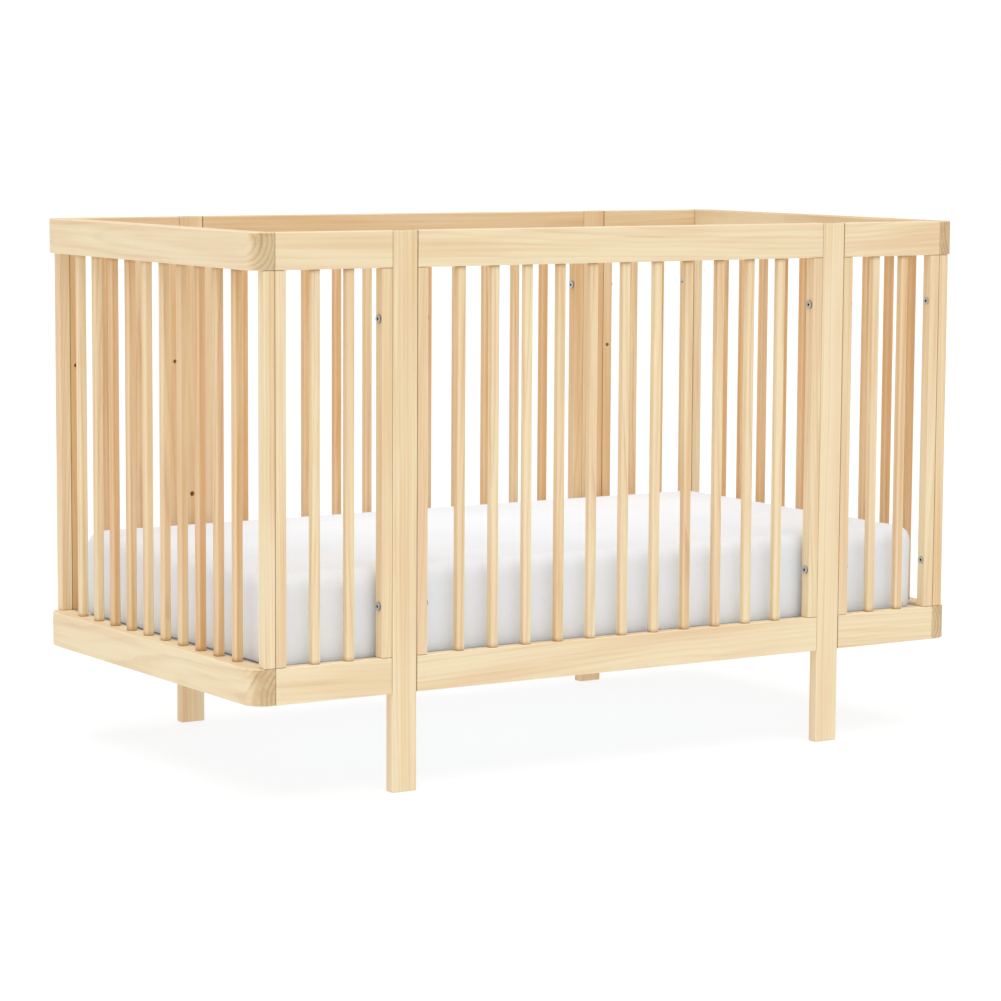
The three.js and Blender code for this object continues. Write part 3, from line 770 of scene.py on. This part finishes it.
def net_wires(level, xs, ys):
    """Wires along X and along Y that pass over and under each other: each rises and falls as a cosine with
    a half wave from one crossing to the next, and neighbours are half a wave apart."""
    run_x, run_y = np.linspace(xs[0], xs[-1], 8 * len(xs) - 7), np.linspace(ys[0], ys[-1], 9 * len(ys) - 8)
    wires = []
    for index, y in enumerate(ys):
        wave = NET_SWING * np.cos(math.pi * (run_x - xs[0]) / (xs[1] - xs[0]) + math.pi * index)
        wires.append(tube(np.stack([run_x, np.full_like(run_x, y), level + wave], 1), NET_WIRE))
    for index, x in enumerate(xs):
        wave = -NET_SWING * np.cos(math.pi * (run_y - ys[0]) / (ys[1] - ys[0]) + math.pi * index)
        wires.append(tube(np.stack([np.full_like(run_y, x), run_y, level + wave], 1), NET_WIRE))
    return wires


def coil_spring(start, end, level):
    """A helix about the line from start to end: r (cos 2 pi n t, sin 2 pi n t) across it, where r swells
    from 0.15 of its full size over the first eighth and shrinks again over the last."""
    t = np.linspace(0, 1, SPRING_TURNS * 9 + 1)
    swell = SPRING_RADIUS * np.clip(np.minimum(t, 1 - t) * 8, 0.15, 1)
    ahead = np.array([end[0] - start[0], end[1] - start[1], 0])
    across = np.array([-ahead[1], ahead[0], 0]) / np.linalg.norm(ahead)
    turn = 2 * math.pi * SPRING_TURNS * t
    sideways, upward = swell * np.cos(turn), swell * np.sin(turn)
    path = np.array([*start, level]) + t[:, None] * ahead
    helix = path + sideways[:, None] * across + upward[:, None] * np.array([0, 0, 1.0])
    return tube(helix, SPRING_WIRE, sides=5)


def spring_deck():
    """The net of wires, and a spring from the end of every wire out to the frame."""
    low, high = node_corners("spring_deck")
    level = (low[2] + high[2]) / 2
    xs, ys = (np.linspace(low[a] + NET_REACH, high[a] - NET_REACH, NET_LINES[a]) for a in (0, 1))
    (left, front), (right, back) = low[:2] - SPRING_HOOK, high[:2] + SPRING_HOOK
    lines = [((xs[0], y), (left, y)) for y in ys] + [((xs[-1], y), (right, y)) for y in ys]
    lines += [((x, ys[0]), (x, front)) for x in xs] + [((x, ys[-1]), (x, back)) for x in xs]
    springs = [coil_spring(start, end, level - SPRING_DROP) for start, end in lines]
    place, _, _, faces = joined(net_wires(level, xs, ys) + springs)
    made = piece("sprung_mesh", place, None, faces, WIRE, SUPPORT)
    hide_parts("spring_deck")


spring_deck()


def box_skin(low, high, cell):
    """A box's six faces as grids of about `cell`, welded along the edges. Returns the points and quads."""
    counts = np.maximum(np.round((high - low) / cell).astype(int), 4)
    ticks = [np.linspace(low[a], high[a], counts[a] + 1) for a in range(3)]
    grids, faces, offset = [], [], 0
    for axis in range(3):
        u, v = (axis + 1) % 3, (axis + 2) % 3
        gu, gv = np.meshgrid(ticks[u], ticks[v], indexing="ij")
        rows, columns = gu.shape
        k, i = np.meshgrid(np.arange(rows - 1), np.arange(columns - 1), indexing="ij")
        corner = (k * columns + i).ravel()
        quads = np.stack([corner, corner + columns, corner + columns + 1, corner + 1], 1)
        for end in (0, 1):
            grid = np.zeros((*gu.shape, 3))
            grid[..., u], grid[..., v], grid[..., axis] = gu, gv, (low, high)[end][axis]
            grids.append(grid.reshape(-1, 3))
            faces.append((quads if end else quads[:, ::-1]) + offset)
            offset += rows * columns
    points, faces = np.concatenate(grids), np.concatenate(faces)
    _, first, same = np.unique(np.round(points / (0.01 * MM)).astype(int), axis=0,
                               return_index=True, return_inverse=True)
    return points[first], same.ravel()[faces]


def squared_to_round(a, b):
    """Carries the corner square to the corner disc: (a, b) keeps its direction and takes the length
    max(|a|, |b|)."""
    length = np.maximum(np.hypot(a, b), 1e-12)
    size = np.maximum(np.abs(a), np.abs(b)) / length
    return a * size, b * size


def upholstered_block(low, high, cell, plan, top, bottom):
    """A box with its four upright edges rounded to `plan`, and its rims to `top` and `bottom`: first the
    plan outline is rounded, then the section through the skin square to that outline. Also returns how far
    each point lies into an upright corner, and the plan direction that it faces."""
    place, faces = box_skin(low, high, cell)
    core = np.clip(place[:, :2], low[:2] + plan, high[:2] - plan)
    out_x, out_y = squared_to_round(*(place[:, :2] - core).T)
    reach = np.hypot(out_x, out_y)
    way = np.stack([out_x, out_y], 1) / np.maximum(reach, 1e-12)[:, None]
    depth = plan - reach
    upper = place[:, 2] > (low[2] + high[2]) / 2
    radius = np.where(upper, top, bottom)
    drop = np.where(upper, high[2] - place[:, 2], place[:, 2] - low[2])
    side, rise = squared_to_round(np.maximum(radius - depth, 0), np.maximum(radius - drop, 0))
    bent = (depth < radius) & (drop < radius)
    reach = np.where(bent, plan - radius + side, reach)
    drop = np.where(bent, radius - rise, drop)
    height = np.where(upper, high[2] - drop, low[2] + drop)
    corner = 2 * np.abs(way[:, 0] * way[:, 1])
    return np.column_stack([core + reach[:, None] * way, height]), faces, corner, way


def puffed(name, place, faces):
    """The cover drawn over its filling: cloth under a little pressure, without gravity, for COVER_FRAMES."""
    mesh = bpy.data.meshes.new(name)
    mesh.from_pydata(place.tolist(), [], faces.tolist())
    trial = bpy.data.objects.new(name, mesh)
    bpy.context.scene.collection.objects.link(trial)
    cloth = trial.modifiers.new("cover", "CLOTH")
    settings = cloth.settings
    settings.quality, settings.mass = 5, 0.3
    settings.tension_stiffness = settings.compression_stiffness = 25
    settings.shear_stiffness, settings.bending_stiffness = 8, 0.6
    settings.use_pressure, settings.uniform_pressure_force = True, 4
    settings.shrink_min = -0.012
    settings.effector_weights.gravity = 0
    cloth.collision_settings.use_collision = False
    cloth.point_cache.frame_start, cloth.point_cache.frame_end = 1, COVER_FRAMES
    scene = bpy.context.scene
    for number in range(1, COVER_FRAMES + 1):
        scene.frame_set(number)
    graph = bpy.context.evaluated_depsgraph_get()
    shape = trial.evaluated_get(graph).to_mesh()
    moved = np.zeros(len(place) * 3)
    shape.vertices.foreach_get("co", moved)
    trial.evaluated_get(graph).to_mesh_clear()
    bpy.data.objects.remove(trial)
    scene.frame_set(1)
    return moved.reshape(-1, 3)


def crib_mattress():
    """The mattress in its fitted sheet. The cloth's movement m is held to c tanh(m / c) on each axis, and
    its rise dies out towards the foot. Soft pleats gather the sheet inwards at the corners by
    PLEAT_DEPTH g (1 + g sin), where g is (depth into the corner)^2 (share of the way down)^1.5."""
    low, high = node_corners("mattress")
    low, high = low + COVER_INSET, high - COVER_INSET
    place, faces, corner, way = upholstered_block(low, high, COVER_CELL, **COVER_ROUNDING)
    shaped = place.copy()
    most = np.array(COVER_MOVEMENT)
    moved = most * np.tanh((puffed("cover_trial", place, faces) - place) / most)
    moved[:, 2] *= (place[:, 2] - low[2]) / (high[2] - low[2])
    shaped += moved
    down = np.clip((high[2] - place[:, 2]) / (high[2] - low[2]), 0, 1)
    gather = corner**2 * down**1.5
    turn = np.arctan2(way[:, 1], way[:, 0])
    pleat = np.sin(turn * PLEATS + 1.5 * np.sin(turn * 7)) * gather
    shaped[:, :2] -= (PLEAT_DEPTH * (pleat + 1) * gather)[:, None] * way
    made = piece("mattress_in_sheet", shaped, None, faces.tolist(), PERCALE, MATTRESS,
                 {"cloth": place})
    smooth = made.modifiers.new("smooth", "SUBSURF")
    smooth.levels = smooth.render_levels = 1
    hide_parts("mattress")


crib_mattress()


# ---------------------------------------------------------------- floor, light and camera


def pale_floor():
    """A wide floor that glows a little, so that it runs into the white round it."""
    half = 30.0
    corners = [(-half, -half, 0), (half, -half, 0), (half, half, 0), (-half, half, 0)]
    mesh = bpy.data.meshes.new("studio_floor")
    mesh.from_pydata(corners, [], [(0, 1, 2, 3)])
    floor = bpy.data.objects.new("studio_floor", mesh)
    bpy.context.scene.collection.objects.link(floor)
    r = Recipe("pale_floor")
    place = r.node("TexCoord").outputs["Object"]
    mottle = r.noise(place, scale=6.0, detail=3.0)
    mesh.materials.append(r.finish(r.mix(mottle, colour("858585"), colour("8A8A8A")), 0.9))
    r.shader.inputs["Emission Color"].default_value = (1, 1, 1, 1)
    r.shader.inputs["Emission Strength"].default_value = 0.75


def white_surround():
    """A white world, seen at full strength and lighting at 0.72 of it."""
    world = bpy.data.worlds.new("studio")
    world.use_nodes = True
    background = world.node_tree.nodes["Background"]
    background.inputs[0].default_value = (1, 1, 1, 1)
    seen = world.node_tree.nodes.new("ShaderNodeLightPath")
    level = world.node_tree.nodes.new("ShaderNodeMapRange")
    level.inputs[3].default_value, level.inputs[4].default_value = 0.72, 1.0
    world.node_tree.links.new(seen.outputs["Is Camera Ray"], level.inputs[0])
    world.node_tree.links.new(level.outputs[0], background.inputs[1])
    bpy.context.scene.world = world


def softbox(name, direction, spread, strength):
    """A distant lamp that shines along `direction`, `spread` degrees wide."""
    light = bpy.data.lights.new(name, "SUN")
    light.angle, light.energy = math.radians(spread), strength
    lamp = bpy.data.objects.new(name, light)
    lamp.rotation_euler = Vector(direction).to_track_quat("-Z", "Y").to_euler()
    bpy.context.scene.collection.objects.link(lamp)


def camera():
    """The camera at CAMERA_PLACE, turned right from +Y by the yaw, down by the pitch, and rolled."""
    lens_data = bpy.data.cameras.new("camera")
    lens_data.sensor_width, lens_data.lens = SENSOR_WIDTH, FOCAL_LENGTH
    lens_data.clip_start, lens_data.clip_end = 0.1, 100
    made = bpy.data.objects.new("camera", lens_data)
    yaw, pitch, roll = (math.radians(angle) for angle in CAMERA_TURN)
    level_ahead = Vector((math.sin(yaw), math.cos(yaw), 0))
    ahead = math.cos(pitch) * level_ahead + Vector((0, 0, -math.sin(pitch)))
    level_right = Vector((math.cos(yaw), -math.sin(yaw), 0))
    upright = level_right.cross(ahead)
    right = math.cos(roll) * level_right + math.sin(roll) * upright
    up = -math.sin(roll) * level_right + math.cos(roll) * upright
    turn = Matrix((right, up, -ahead)).transposed()
    made.matrix_world = Matrix.Translation(CAMERA_PLACE) @ turn.to_4x4()
    bpy.context.scene.collection.objects.link(made)
    bpy.context.scene.camera = made


pale_floor()
white_surround()
softbox("overhead_softbox", (0.16, 0.22, -1.0), 60, 1.6)
softbox("front_softbox", (0.45, 1.0, -0.5), 50, 0.05)
camera()
bpy.context.scene.view_settings.view_transform = "Standard"
